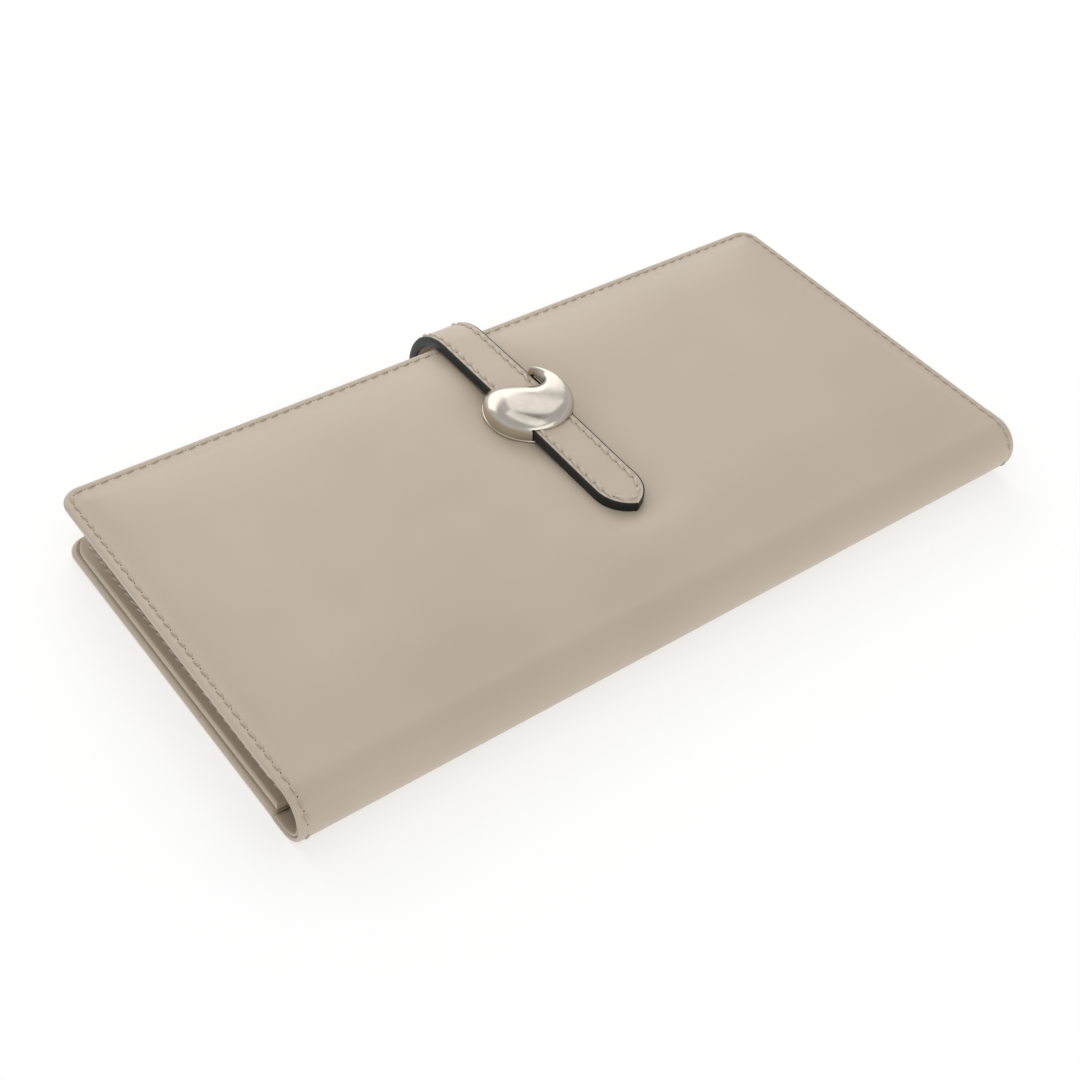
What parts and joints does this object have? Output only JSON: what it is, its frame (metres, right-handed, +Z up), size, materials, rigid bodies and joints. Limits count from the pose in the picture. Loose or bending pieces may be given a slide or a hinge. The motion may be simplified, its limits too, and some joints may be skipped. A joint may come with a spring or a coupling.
{
  "type": "long wallet",
  "caption": "Long bifold leather wallet with padded cover, card panels, zipped coin pocket and a strap that passes through a crescent metal keeper.",
  "frame": {"origin": "centre of the two covers' length and depth, on the underside of the back cover", "axes": "+X along the fold, +Y from the fold to the open edge, +Z up out of the front cover"},
  "size_m": [0.19, 0.1025, 0.0212],
  "materials": {
    "hide": "satin",
    "lining_cloth": "matte",
    "board": "matte",
    "foam": "matte",
    "zip_cloth": "matte",
    "zip_metal": "satin",
    "keeper_metal": "satin",
    "plain_steel": "satin"
  },
  "bodies": {
    "back_cover": {"back_skin": "hide", "back_board": "board", "back_lining": "lining_cloth", "note_panel": "hide", "coin_bag": "lining_cloth", "zip_tape_front": "zip_cloth", "zip_tape_rear": "zip_cloth", "zip_teeth_front": "zip_metal", "zip_teeth_rear": "zip_metal", "zip_stops": "zip_metal", "strap_root": "hide"},
    "spine": {"spine_skin": "hide", "spine_lining": "lining_cloth"},
    "front_cover": {"front_skin": "hide", "front_padding": "foam", "front_board": "board", "front_lining": "lining_cloth", "card_panel_1": "hide", "card_panel_2": "hide", "card_panel_3": "hide", "card_panel_4": "hide", "keeper_plate": "keeper_metal", "keeper_shell": "keeper_metal", "keeper_screws": "plain_steel", "keeper_backing": "plain_steel"},
    "strap_arch": {"strap_arch_face": "hide", "strap_arch_backing": "hide"},
    "strap_tongue": {"strap_tongue_face": "hide", "strap_tongue_backing": "hide"},
    "zip_slider": {"zip_slider": "zip_metal", "zip_bail": "zip_metal"},
    "zip_puller": {"zip_puller": "zip_metal"}
  },
  "joints": [
    {"name": "fold_lower", "type": "hinge", "parent": "back_cover", "child": "spine", "pos_m": [0, -0.04467, 0.00193], "axis": [1, 0, 0], "range_deg": [0, 86.5], "deforming": ["spine_skin", "spine_lining"]},
    {"name": "fold_upper", "type": "hinge", "parent": "spine", "child": "front_cover", "pos_m": [0, -0.04473, 0.0112], "axis": [1, 0, 0], "range_deg": [0, 86.5]},
    {"name": "strap_lower_bend", "type": "hinge", "parent": "back_cover", "child": "strap_arch", "pos_m": [0.0026, 0.05347, 0.00273], "axis": [-1, 0, 0], "range_deg": [0, 90], "deforming": ["strap_arch_face", "strap_arch_backing", "strap_tongue_face", "strap_tongue_backing"]},
    {"name": "strap_upper_bend", "type": "hinge", "parent": "strap_arch", "child": "strap_tongue", "pos_m": [0.0026, 0.0511, 0.01422], "axis": [-1, 0, 0], "range_deg": [0, 90]},
    {"name": "zip_slide", "type": "slide", "parent": "back_cover", "child": "zip_slider", "axis": [-1, 0, 0], "range_m": [0, 0.138], "deforming": ["zip_teeth_front", "zip_teeth_rear"]},
    {"name": "zip_puller_swing", "type": "hinge", "parent": "zip_slider", "child": "zip_puller", "pos_m": [0.0671, 0.0226, 0.0053], "axis": [0, 0, 1], "range_deg": [-35, 35]}
  ],
  "couplings": [
    {"joint": "fold_upper", "follows": "fold_lower", "ratio": 1},
    {"joint": "strap_upper_bend", "follows": "strap_lower_bend", "ratio": 1}
  ]
}
